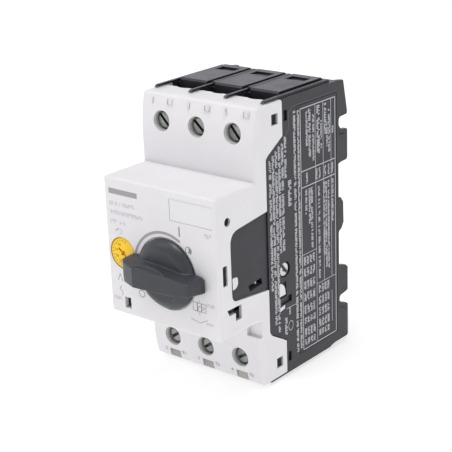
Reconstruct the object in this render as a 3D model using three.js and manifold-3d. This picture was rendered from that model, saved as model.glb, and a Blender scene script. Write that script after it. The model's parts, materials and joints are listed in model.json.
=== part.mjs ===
// A three-pole motor protection breaker with a rotary handle, for a 35 mm mounting rail.
// Millimetres. x runs across the three poles, y from the front plate to the rail, z upwards.
// Inside the group "breaker", y = 0 is the front plate and z = 0 the lower edge of the white cover.
import * as THREE from "three";
import { ConvexGeometry } from "three/addons/geometries/ConvexGeometry.js";
import { mergeVertices } from "three/addons/utils/BufferGeometryUtils.js";
import Module from "manifold-3d";

const wasm = await Module();
wasm.setup();

// Driving dimensions
const WIDTH = 45;
const HALF = WIDTH / 2;
const COVER_TOP = 90;
const MIDDLE_Z = COVER_TOP / 2;
const PLATFORM_RISE = 1.5;
const SEAT_Y = 62;
const FOOT_Y = 67.8;
const KNOB_FRONT = -8;
const WALL = 1.6;
const BASE_WALL = 1.5;
const GAP = 0.3;
const STEP_IN = 0.1;
const RAIL_HEIGHT = 35;

// Front cover
const NOSE_LOW = 22.5;
const NOSE_HIGH = COVER_TOP - NOSE_LOW;
const BLOCK_FRONT = 18.5;
const SEAM_REAR = 32.3;
const SEAM_FRONT = 23.8;
const ENTRY_FRONT = 29.4;
const ENTRY_REAR = 34.6;
const ENTRY_HALF = 5.4;

// Poles and terminals
const POLE_PITCH = 14.1;
const POLES = [-POLE_PITCH, 0, POLE_PITCH];
const TERMINAL_Z = 81.5;
const HOLE_RADIUS = 3.3;
const CLAMP_Y = 29;
const BAR_Y = 35;
const BAR_THICK = 1.5;
const SHANK_RADIUS = 1.8;
const HEAD_FRONT = BLOCK_FRONT + 1.7;

// Contacts: the bridges stand open by TRAVEL, less a hair of clearance
const TRAVEL = 3;
const CONTACT_HIGH = 66;
const CONTACT_LOW = 54;
const BRIDGE_Y = 48.5;
const FIXED_TIP_Y = BRIDGE_Y + 2.2 + TRAVEL + 0.1;
const CARRIER_Z = 60;
const MIDDLE_PLATE_Y = 36;

// Knob, dial and the trip parts
const KNOB_X = 2.2;
const KNOB_Z = 40.4;
const KNOB_RADIUS = 11.2;
const GRIP_DROP = 0.35;
const DIAL_X = -16;
const DIAL_Z = 43.1;
const DIAL_RADIUS = 5;
const TRIP_Y = 31;
const TRIP_Z = 29;
const DRIVE_Y = 32.3;
const DRIVE_Z = 35.6;
const CAM_Y = 21.5;
const CAM_RADIUS = 4.75;
const FRAME_Y = 26;
const LATCH_X = 12.6;
const LATCH_Z = 50;
const COIL_Z = 38;
const COIL_RADIUS = 4.2;

// Materials
const PLASTIC_WHITE = { color: 0xdfe0e3, roughness: 0.55, metalness: 0 };
const PLASTIC_BLACK = { color: 0x3a3a3f, roughness: 0.6, metalness: 0 };
const PLASTIC_KNOB = { color: 0x353b40, roughness: 0.45, metalness: 0 };
const PLASTIC_YELLOW = { color: 0xf2bd12, roughness: 0.45, metalness: 0 };
const PLASTIC_INNER = { color: 0x8d8a80, roughness: 0.6, metalness: 0 };
const PAPER = { color: 0xe8e8ea, roughness: 0.7, metalness: 0 };
const PRINTED_FILM = { color: 0x2c2c30, roughness: 0.5, metalness: 0 };
const STEEL = { color: 0xa9abae, roughness: 0.35, metalness: 1 };
const COPPER = { color: 0xb87a4b, roughness: 0.35, metalness: 1 };
const BRASS = { color: 0xc2a05a, roughness: 0.35, metalness: 1 };
const BIMETAL = { color: 0x9c958a, roughness: 0.4, metalness: 1 };

// A shape is drawn in two axes and extruded along the third: (y, z) along x, (x, z) along y, (x, y) along z.
const [X, Y, Z] = [new THREE.Vector3(1, 0, 0), new THREE.Vector3(0, 1, 0), new THREE.Vector3(0, 0, 1)];
const AXIS_TURN = {
  x: new THREE.Matrix4().makeBasis(Y, Z, X),
  y: new THREE.Matrix4().makeBasis(X, Z, Y.clone().negate()),
  z: new THREE.Matrix4(),
};

function solid(geometry) {
  const bare = geometry.clone();
  bare.deleteAttribute("normal");
  bare.deleteAttribute("uv");
  const merged = mergeVertices(bare, 1e-4);
  const vertProperties = merged.attributes.position.array;
  const triVerts = new Uint32Array(merged.index.array);
  return new wasm.Manifold(new wasm.Mesh({ numProp: 3, vertProperties, triVerts }));
}

const join = (first, ...rest) => rest.reduce((whole, piece) => whole.add(piece), first);
const cut = (first, ...tools) => tools.reduce((whole, tool) => whole.subtract(tool), first);

function outline(...points) {
  return new THREE.Shape(points.map(([a, b]) => new THREE.Vector2(a, b)));
}

function roundedRectangle(a0, a1, b0, b1, radius) {
  const shape = new THREE.Shape();
  shape.absarc(a1 - radius, b0 + radius, radius, -Math.PI / 2, 0);
  shape.absarc(a1 - radius, b1 - radius, radius, 0, Math.PI / 2);
  shape.absarc(a0 + radius, b1 - radius, radius, Math.PI / 2, Math.PI);
  shape.absarc(a0 + radius, b0 + radius, radius, Math.PI, Math.PI * 1.5);
  return shape;
}

function prism(axis, shape, from, to, bevel = 0, curveSegments = 4) {
  const geometry = new THREE.ExtrudeGeometry(shape, {
    depth: to - from - 2 * bevel,
    curveSegments,
    bevelEnabled: bevel > 0,
    bevelThickness: bevel,
    bevelSize: bevel,
    bevelOffset: -bevel,
    bevelSegments: 3,
  });
  geometry.translate(0, 0, bevel);
  geometry.applyMatrix4(AXIS_TURN[axis]);
  if (axis === "x") geometry.translate(from, 0, 0);
  if (axis === "y") geometry.translate(0, to, 0);
  if (axis === "z") geometry.translate(0, 0, from);
  return solid(geometry);
}

function box(x0, x1, y0, y1, z0, z1) {
  const geometry = new THREE.BoxGeometry(x1 - x0, y1 - y0, z1 - z0);
  geometry.translate((x0 + x1) / 2, (y0 + y1) / 2, (z0 + z1) / 2);
  return solid(geometry);
}

// A round rod along an axis: (a, b) are its centre in the other two axes, in the order of AXIS_TURN.
function rod(axis, radius, from, to, a, b, sides = 12) {
  const geometry = new THREE.CylinderGeometry(radius, radius, to - from, sides);
  if (axis === "x") geometry.rotateZ(Math.PI / 2).translate((from + to) / 2, a, b);
  if (axis === "y") geometry.translate(a, (from + to) / 2, b);
  if (axis === "z") geometry.rotateX(Math.PI / 2).translate(a, b, (from + to) / 2);
  return solid(geometry);
}

// A solid of revolution about a line along y: the profile lists (radius, y) from the front to the rear.
function turned(profile, x, z, sides = 32) {
  const points = profile.map(([radius, y]) => new THREE.Vector2(radius, y));
  return solid(new THREE.LatheGeometry(points, sides).translate(x, 0, z));
}

// A coil of square wire about its own y axis, starting at y = 0.
class Helix extends THREE.Curve {
  constructor(radius, pitch, turns) {
    super();
    Object.assign(this, { radius, pitch, turns });
  }
  getPoint(t, target = new THREE.Vector3()) {
    const angle = t * this.turns * 2 * Math.PI;
    const y = t * this.turns * this.pitch;
    return target.set(this.radius * Math.cos(angle), y, this.radius * Math.sin(angle));
  }
}

function spring(place, { radius, pitch, turns, wire, steps = 8, upright = false }) {
  const half = wire / 2;
  const section = outline([-half, -half], [half, -half], [half, half], [-half, half]);
  const extrudePath = new Helix(radius, pitch, turns);
  const geometry = new THREE.ExtrudeGeometry(section, { steps: turns * steps, extrudePath });
  if (upright) geometry.rotateX(Math.PI / 2);
  return solid(geometry.translate(...place));
}

// A box at the lower end of the device, mirrored from the heights given for the upper end.
function lowerOf(x0, x1, y0, y1, z0, z1) {
  return box(x0, x1, y0, y1, COVER_TOP - z1, COVER_TOP - z0);
}

function bothEnds(make) {
  return [make(box), make(lowerOf)];
}

const breaker = new THREE.Group();
breaker.name = "breaker";

function addMesh(name, shape, finish) {
  const { vertProperties, triVerts } = shape.getMesh();
  const geometry = new THREE.BufferGeometry();
  geometry.setAttribute("position", new THREE.BufferAttribute(vertProperties, 3));
  geometry.setIndex(new THREE.BufferAttribute(triVerts, 1));
  const flat = geometry.toNonIndexed();
  flat.computeVertexNormals();
  const mesh = new THREE.Mesh(flat, new THREE.MeshStandardMaterial(finish));
  mesh.name = name;
  breaker.add(mesh);
  return mesh;
}

// White front cover

function blockSide() {
  const shape = new THREE.Shape();
  shape.moveTo(40, 60);
  shape.lineTo(40, COVER_TOP);
  shape.lineTo(BLOCK_FRONT + 2.8, COVER_TOP);
  shape.quadraticCurveTo(BLOCK_FRONT + 1.8, COVER_TOP, BLOCK_FRONT + 1.5, COVER_TOP - 0.9);
  shape.quadraticCurveTo(BLOCK_FRONT + 0.1, COVER_TOP - 6, BLOCK_FRONT, TERMINAL_Z - 4);
  shape.lineTo(BLOCK_FRONT, 60);
  return shape;
}

function lowerBlockSide() {
  const upper = blockSide().getPoints(6);
  return new THREE.Shape(upper.map((p) => new THREE.Vector2(p.x, COVER_TOP - p.y)));
}

// A rounded corner of an outline, from one straight edge to the next.
function bend(from, corner, to) {
  const [start, middle, end] = [from, corner, to].map((point) => new THREE.Vector2(...point));
  return new THREE.QuadraticBezierCurve(start, middle, end).getPoints(6).map((p) => [p.x, p.y]);
}

// The edge of the window in the cover's side, from the seam at depth rear forward and back again.
function windowEdge(rear, grow) {
  const front = 5.9 - grow;
  return [
    [rear, 57.3 + grow],
    ...bend([9.6, 55.85 + grow], [front, 55.45 + grow], [front, 51.5]),
    ...bend([front, 36.2], [front, 33.65 - grow], [8.4, 33.35 - grow]),
    [rear, 31.6 - grow],
  ];
}

// What lies behind the seam between cover and base, seen from the side; grow moves it forward.
function behindSeam(grow, withWindow) {
  const rear = SEAM_REAR - grow;
  const front = SEAM_FRONT - grow;
  return outline(
    [80, 120],
    [rear, 120],
    [rear, 78.9 + grow * 0.6],
    [front + 1, 74.4 + grow * 0.6],
    [front, 73.4 + grow * 0.6],
    ...(withWindow ? windowEdge(front, grow) : []),
    [front, 17.2 - grow * 0.6],
    [front + 1, 15.8 - grow * 0.6],
    [rear, 11.4 - grow * 0.6],
    [rear, -30],
    [80, -30],
  );
}

function coverShell() {
  const nosePlate = roundedRectangle(-HALF, HALF, NOSE_LOW, NOSE_HIGH, 1);
  return cut(
    join(
      prism("y", nosePlate, 0, 40, 0.9, 3),
      prism("x", blockSide(), -HALF, HALF, 0.7, 6),
      prism("x", lowerBlockSide(), -HALF, HALF, 0.7),
    ),
    box(WALL - HALF, HALF - WALL, WALL, 41, NOSE_LOW + WALL, NOSE_HIGH - WALL),
    ...bothEnds((b) => b(WALL - HALF, HALF - WALL, BLOCK_FRONT + 2, 41, 50, COVER_TOP - WALL)),
    prism("x", behindSeam(0, true), 0, 40),
    prism("x", behindSeam(0, false), -40, 0),
    ...bothEnds((b) => b(WALL - HALF, HALF - WALL, ENTRY_FRONT, 50, 70, 100)),
  );
}

function screwHoles() {
  return POLES.flatMap((x) =>
    [TERMINAL_Z, COVER_TOP - TERMINAL_Z].map((z) => rod("y", HOLE_RADIUS, 10, 25, x, z, 32)),
  );
}

function frontOpenings() {
  return [
    ...POLES.map((x) => box(x - 2.3, x + 2.3, 15, 22, 0.6, 3.4)),
    rod("y", DIAL_RADIUS + GAP, -1, 5, DIAL_X, DIAL_Z, 40),
    rod("y", 4.3, -1, 5, KNOB_X, KNOB_Z, 16),
    turned([[0, -1], [KNOB_RADIUS + 0.5, -1], [KNOB_RADIUS + 0.5, 0.5], [0, 0.5]], KNOB_X, KNOB_Z, 56),
    box(-16.4, -13.8, -1, 5, 24.9, 28.6),
    box(4.3, 20.8, -1, 0.6, 57.9, 64.8),
    prism("y", outline([-4.5, 12.3], [-1.2, 12.3], [-3.6, 13.3]), 15, 19.3),
    box(17.5, 24, 15, 19.9, 17, 22.4),
  ];
}

function sideOpenings() {
  const outer = [HALF - WALL - 0.5, HALF + 1];
  const slot = outline([3.4, 31.8], [10.1, 31.8], [10.1, 27.2], [7.3, 27.2], [7.3, 29.8], [4.4, 29.8]);
  const snap = (x0, x1) => bothEnds((b) => b(x0, x1, 27, 30.1, 83.1, 86.5));
  return [
    rod("x", 1.35, ...outer, 4.85, 59.4, 20),
    prism("x", roundedRectangle(2, 4.1, 39.8, 46.2, 0.4), ...outer, 0, 1),
    prism("x", slot, ...outer),
    ...snap(...outer),
    ...snap(-HALF - 1, WALL + 0.5 - HALF),
  ];
}

function addFrontCover() {
  const collars = POLES.flatMap((x) =>
    [TERMINAL_Z, COVER_TOP - TERMINAL_Z].map((z) => rod("y", HOLE_RADIUS + 1.2, 20, 22, x, z, 16)),
  );
  const partitions = [-0.5, 0.5].flatMap((side) => {
    const x = side * POLE_PITCH;
    return bothEnds((b) => b(x - 0.6, x + 0.6, 20, ENTRY_FRONT - 0.4, 70, COVER_TOP - 1));
  });
  const scallops = POLES.flatMap((x) =>
    [[COVER_TOP - 3, COVER_TOP + 3], [-3, 3]].map(([from, to]) => rod("z", 4, from, to, x, 32.7, 16)),
  );
  const whole = cut(
    join(coverShell(), ...collars, ...partitions),
    ...screwHoles(),
    ...frontOpenings(),
    ...sideOpenings(),
    ...scallops,
  );
  addMesh("front_cover", whole, PLASTIC_WHITE);
}

// Black base housing

// The rear outline, seen from the side, from the top of the base round to its bottom; inset shrinks the feet.
function rearOutline(inset) {
  const foot = FOOT_Y - inset;
  const d = inset;
  return [
    [57, COVER_TOP],
    [61, COVER_TOP],
    [65.6 - d, COVER_TOP - 0.6 - d],
    [foot, 78.7 + d],
    [foot - 0.3, 77.9 + d],
    [63.7 - d, 77.7 + d],
    [63 - d, 77 + d],
    [63 - d, 75 - d],
    [64.4 - d, 73.3 - d],
    [foot - 0.5, 73.1 - d],
    [foot, 72.6 - d],
    [foot, 63.3 + d * 0.5],
    [foot - 0.6, 62.7 + d * 0.5],
    [SEAT_Y, MIDDLE_Z + RAIL_HEIGHT / 2],
    [SEAT_Y, 51.1],
    [64 - d, 50.5 - d],
    [65.3 - d, 48.7 - d],
    [65.5 - d, 41.6 + d],
    [64.3 - d, 39.8 + d],
    [SEAT_Y, 38.6],
    [SEAT_Y, MIDDLE_Z - RAIL_HEIGHT / 2],
    [66.8 - d, 26 - d],
    [foot, 25 - d],
    [foot, 17 + d],
    [foot - 0.6, 16.5 + d],
    [63.6 - d, 16.1 + d],
    [63 - d, 15.4 + d],
    [63 - d, 14.1 - d],
    [64.2 - d, 13.2 - d],
    [foot - 0.6, 12.1 - d],
    [foot, 11.4 - d],
    [foot, 0.5 + d],
    [foot - 0.6, d],
    [57, 0],
  ];
}

function baseSide(inset) {
  const front = SEAM_REAR + GAP;
  const inner = SEAM_FRONT + GAP;
  return outline(
    [front, 0],
    [front, 11.6],
    [inner + 1, 16],
    [inner, 17.4],
    [inner, 73.2],
    [inner + 1, 74.2],
    [front, 78.7],
    [front, COVER_TOP],
    ...rearOutline(inset),
  );
}

// The part of the side wall that reaches forward and fills the window in the cover's side.
function forwardPanel(grow, x0, x1) {
  return prism("x", outline(...windowEdge(SEAM_FRONT + 2, grow)), x0, x1);
}

function platforms() {
  return POLES.flatMap((x) =>
    [1, -1].map((end) => {
      const z = (height) => (end > 0 ? COVER_TOP + height : -height);
      const shape = outline(
        [ENTRY_REAR, z(-1)],
        [ENTRY_REAR, z(PLATFORM_RISE - 0.6)],
        [ENTRY_REAR + 0.6, z(PLATFORM_RISE)],
        [57, z(PLATFORM_RISE)],
        [59, z(-1)],
      );
      return prism("x", shape, x - ENTRY_HALF, x + ENTRY_HALF);
    }),
  );
}

function fins() {
  const places = [-1.5, -0.5, 0.5, 1.5].map((side) => side * (POLE_PITCH - 0.1));
  return places.flatMap((x) =>
    [1, -1].map((end) => {
      const z = (height) => (end > 0 ? COVER_TOP + height : -height);
      const shape = outline(
        [24.3, z(GAP)],
        [25.2, z(1)],
        [58, z(1)],
        [59, z(-1)],
        [SEAM_REAR + GAP, z(-1)],
        [SEAM_REAR + GAP, z(GAP)],
      );
      return prism("x", shape, x - 0.5, x + 0.5);
    }),
  );
}

// Round-topped ribs in the channels between the platforms.
function channelRibs() {
  return [-0.5, 0.5].flatMap((side) =>
    [COVER_TOP, 0].map((z) => rod("y", 1.4, ENTRY_REAR + 1.4, 57, side * POLE_PITCH, z, 16)),
  );
}

function snapArms() {
  return [1, -1].flatMap((side) =>
    bothEnds((b) => {
      const span = (from, to) => (side > 0 ? [from, to] : [-to, -from]);
      return join(
        b(...span(19.2, HALF - WALL - GAP), 26.3, 35, 83.4, 86.2),
        b(...span(20, HALF - 0.7), 27.3, 29.7, 83.4, 86.2),
        b(...span(19.2, HALF - 0.5), SEAM_REAR + GAP, 36, 83.4, 86.2),
      );
    }),
  );
}

function addBaseHousing() {
  const walls = BASE_WALL;
  const outer = join(
    prism("x", baseSide(0), -HALF + 0.6, HALF - 0.6),
    prism("x", baseSide(1.4), -HALF + STEP_IN, HALF - STEP_IN),
  );
  const hollow = [
    box(walls - HALF, HALF - walls, 20, SEAT_Y - 2.3, walls, COVER_TOP - walls),
    ...bothEnds((b) => b(walls - HALF, HALF - walls, 20, ENTRY_REAR - 0.01, COVER_TOP - 2, 95)),
  ];
  const ribRoots = [-0.5, 0.5].flatMap((side) => {
    const x = side * POLE_PITCH;
    return bothEnds((b) => b(x - 0.6, x + 0.6, SEAM_REAR + GAP, ENTRY_REAR + 2, 76, COVER_TOP));
  });
  const partitions = [-0.5, 0.5].map((side) => {
    const x = side * POLE_PITCH;
    return cut(
      box(x - 0.6, x + 0.6, ENTRY_REAR, SEAT_Y - 2, 1, COVER_TOP - 1),
      box(x - 1, x + 1, 30, 45.5, 54.5, 65.5),
      box(x - 1, x + 1, 30, 45, 26.5, 31),
      box(x - 1, x + 1, 30, MIDDLE_PLATE_Y + 1.6, 15, 74),
    );
  });
  const forward = [
    forwardPanel(1, 19.1, HALF - WALL - GAP),
    forwardPanel(-GAP, 20, HALF - 0.5),
    box(19.1, HALF - 0.6, SEAM_FRONT + GAP + 0.01, SEAM_FRONT + 3, 30.6, 58.3),
  ];
  const sideWindows = [
    rod("x", 2.6, 15, 30, DRIVE_Y, DRIVE_Z, 28),
    box(15, 30, 29.2, 32.8, 26.5, 31.6),
    prism("x", outline([14.3, 36], [20.6, 36.8], [21.2, 34.6], [15, 33.9]), 15, 30),
    prism("x", outline([30, 24], [35.5, 24], [35.5, 26.4], [31, 26.4]), HALF - 0.8, 30),
    prism("x", outline([29.3, 21.8], [32.3, 22.4], [32.3, 23.9], [29.3, 23.4]), HALF - 0.8, 30),
  ];
  const notches = [
    ...bothEnds((b) => b(HALF - 0.8, HALF + 1, 33.2, 34.8, 83.1, 86.5)),
    ...POLES.flatMap((x) => bothEnds((b) => b(x - 3.6, x + 3.6, 50, 54, COVER_TOP + 0.7, 95))),
  ];
  const railParts = [
    box(-19, 19, SEAT_Y - 0.5, SEAT_Y + 0.3, 56, 60.6),
    box(-19, 19, SEAT_Y - 0.5, SEAT_Y + 0.3, 29.4, 34),
    box(-17, 17, SEAT_Y - 1, FOOT_Y - 2.3, 62.8, 66),
    box(-17, 17, SEAT_Y + 1.8, FOOT_Y - 2.3, 61.2, 63.5),
  ];
  const railHollow = [
    box(walls - HALF + 0.5, HALF - walls - 0.5, SEAT_Y, 75, -5, MIDDLE_Z - RAIL_HEIGHT / 2 + 0.01),
    box(walls - HALF + 0.5, HALF - walls - 0.5, SEAT_Y, 75, MIDDLE_Z + RAIL_HEIGHT / 2 - 0.01, 95),
    box(walls - HALF + 0.5, HALF - walls - 0.5, SEAT_Y, 75, 38, 52),
  ];
  const latchGuides = [-1, 1].flatMap((side) => {
    const span = (from, to) => (side > 0 ? [from, to] : [-to, -from]);
    return [
      box(...span(9.4, 11.6), SEAT_Y - 0.5, 66.4, 6, 20.5),
      box(...span(8, 11.6), 65.5, 66.4, 6, 20.5),
    ];
  });
  const labelRecess = box(HALF - 0.6, HALF + 1, 39.4, 61.1, 3.9, 86.6);
  const whole = join(
    cut(outer, ...hollow, ...railHollow, labelRecess),
    ...platforms(),
    ...fins(),
    ...channelRibs(),
    ...snapArms(),
    ...ribRoots,
    ...partitions,
    ...forward,
    ...railParts,
    ...latchGuides,
  );
  addMesh("base_housing", cut(whole, ...sideWindows, ...notches), PLASTIC_BLACK);
}

// Handle, shaft and mechanism

// The grip: each station along x has a half height at the plate and one at its front.
function knobBar() {
  const stations = [
    { x: -15.2, front: -3.2, atPlate: 3.6, atFront: 2.9 },
    { x: -12.6, front: -5.6, atPlate: 5, atFront: 3.2 },
    { x: -7, front: KNOB_FRONT, atPlate: 5.1, atFront: 3.1 },
    { x: 6.5, front: KNOB_FRONT + 0.5, atPlate: 4, atFront: 2.75 },
    { x: 15.6, front: KNOB_FRONT + 1.3, atPlate: 2.9, atFront: 1.9 },
  ];
  const corners = stations.flatMap(({ x, front, atPlate, atFront }) =>
    [-1, 1].flatMap((side) => [
      new THREE.Vector3(x, -GAP, side * atPlate - GRIP_DROP),
      new THREE.Vector3(x, front, side * atFront - GRIP_DROP),
    ]),
  );
  return solid(new ConvexGeometry(corners));
}

function addHandle() {
  const disc = [
    [0, -2.9], [8.4, -2.9], [9.5, -2.6], [10.6, -1.8], [KNOB_RADIUS, -0.7], [KNOB_RADIUS, 0.2], [0, 0.2],
  ];
  const socket = box(-2.6, 2.6, -5.3, 1, -2.6, 2.6);
  const grip = cut(join(turned(disc, 0, 0, 48), knobBar()), socket);
  const knob = addMesh("rotary_handle", grip, PLASTIC_KNOB);
  knob.position.set(KNOB_X, 0, KNOB_Z);

  // The cam shrinks over the quarter turn from OFF, so the drive shaft's lever follows it upwards.
  const cam = new THREE.Shape();
  for (let step = 0; step <= 24; step += 1) {
    const angle = -Math.PI / 2 + (step / 24) * 2 * Math.PI;
    const drop = step <= 6 ? step / 6 : (24 - step) / 18;
    const radius = CAM_RADIUS - 1.2 * drop;
    const point = [radius * Math.cos(angle), radius * Math.sin(angle)];
    if (step === 0) cam.moveTo(...point);
    else if (step < 24) cam.lineTo(...point);
  }
  const shaft = join(
    box(-2.3, 2.3, -5, 3, -2.3, 2.3),
    rod("y", 3, 2.5, CAM_Y, 0, 0),
    prism("y", cam, CAM_Y, CAM_Y + 3),
    rod("y", 1.6, CAM_Y + 2, FRAME_Y + 1.9, 0, 0, 16),
  );
  const shaftMesh = addMesh("handle_shaft", shaft, STEEL);
  shaftMesh.position.set(KNOB_X, 0, KNOB_Z);
}

function addDial() {
  const profile = [
    [0, 0.1], [DIAL_RADIUS - 0.3, 0.1], [DIAL_RADIUS, 0.4], [DIAL_RADIUS, 2.6],
    [2.2, 2.6], [2.2, 20], [0, 20],
  ];
  const slots = [box(-3.2, 3.2, 0, 0.9, -0.45, 0.45), box(-0.45, 0.45, 0, 0.9, -2, 2)];
  const cam = rod("y", 3, 17, 19.5, 0.9, 0, 12);
  const dial = addMesh("setting_dial", cut(join(turned(profile, 0, 0, 40), cam), ...slots), PLASTIC_YELLOW);
  dial.position.set(DIAL_X, 0, DIAL_Z);
}

function addMechanismFrame() {
  const posts = [[-8.5, 46], [15, 44], [12, 61]];
  const plate = cut(
    join(
      box(-10.5, 17, FRAME_Y, FRAME_Y + 1.4, 36.5, 64),
      box(-10.5, 17, 8, FRAME_Y + 1.4, 62.6, 64),
      ...posts.map(([x, z]) => rod("y", 1.4, FRAME_Y + 1, MIDDLE_PLATE_Y - 0.2, x, z, 12)),
      rod("y", 1.3, 21.7, FRAME_Y + 1, LATCH_X, LATCH_Z, 14),
    ),
    rod("y", 1.9, 20, 30, KNOB_X, KNOB_Z, 16),
    rod("y", 4.4, 20, 30, 0, 54, 16),
  );
  addMesh("mechanism_frame", plate, STEEL);

  const lever = cut(
    join(
      rod("y", 3, 23.6, 25.4, LATCH_X, LATCH_Z, 20),
      box(LATCH_X - 1, LATCH_X + 1, 23.6, 25.4, TRIP_Z, LATCH_Z),
      box(LATCH_X - 6.5, LATCH_X, 23.6, 25.4, LATCH_Z - 1, LATCH_Z + 1.4),
      box(LATCH_X - 1, LATCH_X + 1, 23.6, 25.4, LATCH_Z, LATCH_Z + 7.5),
    ),
    rod("y", 1.6, 20, 30, LATCH_X, LATCH_Z, 14),
  );
  addMesh("latch_lever", lever, STEEL);
  const place = [LATCH_X - 0.5, 15, 59.4];
  addMesh("latch_spring", spring(place, { radius: 1.8, pitch: 1.5, turns: 5, wire: 0.5 }), STEEL);
}

function addDriveShaft() {
  const shaft = join(
    rod("x", 1.25, -18.5, 20.2, DRIVE_Y, DRIVE_Z, 16),
    rod("x", 2.1, 19.8, HALF - 0.6, DRIVE_Y, DRIVE_Z, 24),
    box(2.4, 4, CAM_Y, DRIVE_Y, DRIVE_Z - 1.7, DRIVE_Z - 0.3),
    ...[-5, 4.4].map((x) => box(x, x + 1.2, 31.4, 33.6, DRIVE_Z, 57.6)),
  );
  const bore = rod("x", 0.8, HALF - 2, HALF, DRIVE_Y, DRIVE_Z, 10);
  addMesh("drive_shaft", cut(shaft, bore), PLASTIC_WHITE);
}

function addTripBar() {
  const bar = join(
    box(-19.5, 20.4, TRIP_Y - 1.4, TRIP_Y + 1.4, TRIP_Z - 2.1, TRIP_Z + 2.2),
    box(LATCH_X - 2.4, LATCH_X - 1.3, 23.6, TRIP_Y - 1, TRIP_Z, TRIP_Z + 2),
    ...POLES.map((x) => box(x - 1.3, x - 0.3, TRIP_Y + 1, 44, TRIP_Z - 1.5, TRIP_Z + 0.5)),
    ...POLES.map((x) => box(x - 1.2, x + 0.9, TRIP_Y - 2.6, TRIP_Y - 1, TRIP_Z - 2, COIL_Z + 1.6)),
  );
  addMesh("trip_bar", bar, PLASTIC_WHITE);
  const lever = join(
    box(-16.2, -15.2, 2.1, 30, 25.6, 26.6),
    box(-16.2, -15.2, 2.1, 5, 25.6, 27.9),
    box(-18.4, -15.2, 23, 29.3, 25.6, 26.6),
  );
  addMesh("test_lever", lever, PLASTIC_INNER);
}

// Contact system

function addContacts() {
  const stem = join(
    box(-18.3, 18.3, 38.8, 41.2, CARRIER_Z - 2.5, CARRIER_Z + 2.5),
    box(-3, 3, 30, 39, CARRIER_Z - 1.5, CARRIER_Z + 1.5),
    box(-6.4, 6.4, 34.2, 35.5, CARRIER_Z - 3.4, CARRIER_Z),
    ...POLES.map((x) => rod("y", 1.2, 41, BRIDGE_Y + 3, x, CARRIER_Z, 12)),
  );
  addMesh("contact_carrier", stem, PLASTIC_INNER);
  POLES.forEach((x, pole) => {
    const tips = [CONTACT_LOW, CONTACT_HIGH];
    const bridge = cut(
      join(
        box(x - 3, x + 3, BRIDGE_Y, BRIDGE_Y + 1.2, CONTACT_LOW - 3, CONTACT_HIGH + 3),
        ...tips.map((z) => rod("y", 2.2, BRIDGE_Y + 1, BRIDGE_Y + 2.2, x, z)),
      ),
      rod("y", 1.5, BRIDGE_Y - 1, BRIDGE_Y + 3, x, CARRIER_Z, 12),
    );
    addMesh(`contact_bridge_${pole + 1}`, bridge, COPPER);
    const coil = { radius: 2.1, pitch: 1.55, turns: 4, wire: 0.7 };
    addMesh(`contact_spring_${pole + 1}`, spring([x, 41.7, CARRIER_Z], coil), STEEL);

    const plates = [0, 1, 2, 3].flatMap((row) => {
      const y = 45.4 + row * 2.4;
      return [[CONTACT_HIGH + 3.6, 73.6], [46.9, CONTACT_LOW - 3.6]].map(([from, to]) =>
        box(x - 5.3, x + 5.3, y, y + 0.9, from, to),
      );
    });
    const cheeks = [-1, 1].map((side) => {
      const middle = x + side * 5.3;
      return box(middle - 0.3, middle + 0.3, 45.2, 53.6, 46.9, 73.6);
    });
    addMesh(`arc_chute_${pole + 1}`, join(...plates, ...cheeks), STEEL);
  });
}

// Current path, from the line terminal at the top to the load terminal below

function addCurrentPath() {
  const tipFront = FIXED_TIP_Y;
  const barFront = tipFront + 1;
  const barRear = barFront + BAR_THICK;
  const foot = 74.6;
  POLES.forEach((x, pole) => {
    const number = pole + 1;
    const [left, right] = [x - 4.2, x + 4.2];
    const line = cut(
      join(
        box(left, right, BAR_Y, BAR_Y + BAR_THICK, foot, TERMINAL_Z + 5),
        box(left, right, BAR_Y, barRear, foot, foot + BAR_THICK),
        box(left, right, barFront, barRear, CONTACT_HIGH - 3.5, foot + 1),
        rod("y", 2.2, tipFront, barFront + 0.5, x, CONTACT_HIGH),
      ),
      rod("y", SHANK_RADIUS + GAP, 30, 40, x, TERMINAL_Z),
    );
    addMesh(`line_terminal_${number}`, line, COPPER);

    const lower = join(
      box(left, right, barFront, barRear, 44.5, CONTACT_LOW + 3.5),
      box(left, right, 50.5, barRear, 44.5, 46),
      rod("y", 2.2, tipFront, barFront + 0.5, x, CONTACT_LOW),
    );
    addMesh(`lower_contact_${number}`, lower, COPPER);

    const winding = { radius: COIL_RADIUS, pitch: 2.6, turns: 5, wire: 1.3 };
    addMesh(`magnet_coil_${number}`, spring([x, 40.7, COIL_Z], winding), COPPER);
    const yoke = cut(
      join(
        box(x - 5.4, x + 5.4, 38.4, 39.5, 31.4, 43.9),
        box(x - 5.4, x + 5.4, 38.4, barRear, 31.4, 32.5),
        box(x - 5.4, x + 5.4, 55, barRear, 31.4, 43.9),
        rod("y", 2.4, 51, 55.5, x, COIL_Z),
      ),
      rod("y", 2.3, 37, 40, x, COIL_Z),
    );
    addMesh(`magnet_yoke_${number}`, yoke, STEEL);
    const plunger = join(
      rod("y", 1.9, 40.4, 50.2, x, COIL_Z),
      rod("y", 0.9, DRIVE_Y + 0.9, 41, x, COIL_Z, 10),
    );
    addMesh(`magnet_plunger_${number}`, plunger, STEEL);

    const strip = join(
      box(x - 3.4, x - 2.5, 40.5, 44.5, 4, TRIP_Z + 1.6),
      ...[10, 13, 16, 19, 22].map((z) => box(x - 3.9, x - 2, 40, 45, z, z + 1.6)),
    );
    addMesh(`bimetal_${number}`, strip, BIMETAL);
    const load = cut(
      join(
        box(left, right, BAR_Y, BAR_Y + BAR_THICK, 2.2, COVER_TOP - TERMINAL_Z + 5),
        box(left, right, BAR_Y, 46, 2.2, 2.2 + BAR_THICK),
      ),
      rod("y", SHANK_RADIUS + GAP, 30, 40, x, COVER_TOP - TERMINAL_Z),
    );
    addMesh(`load_terminal_${number}`, load, COPPER);
  });
}

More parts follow.
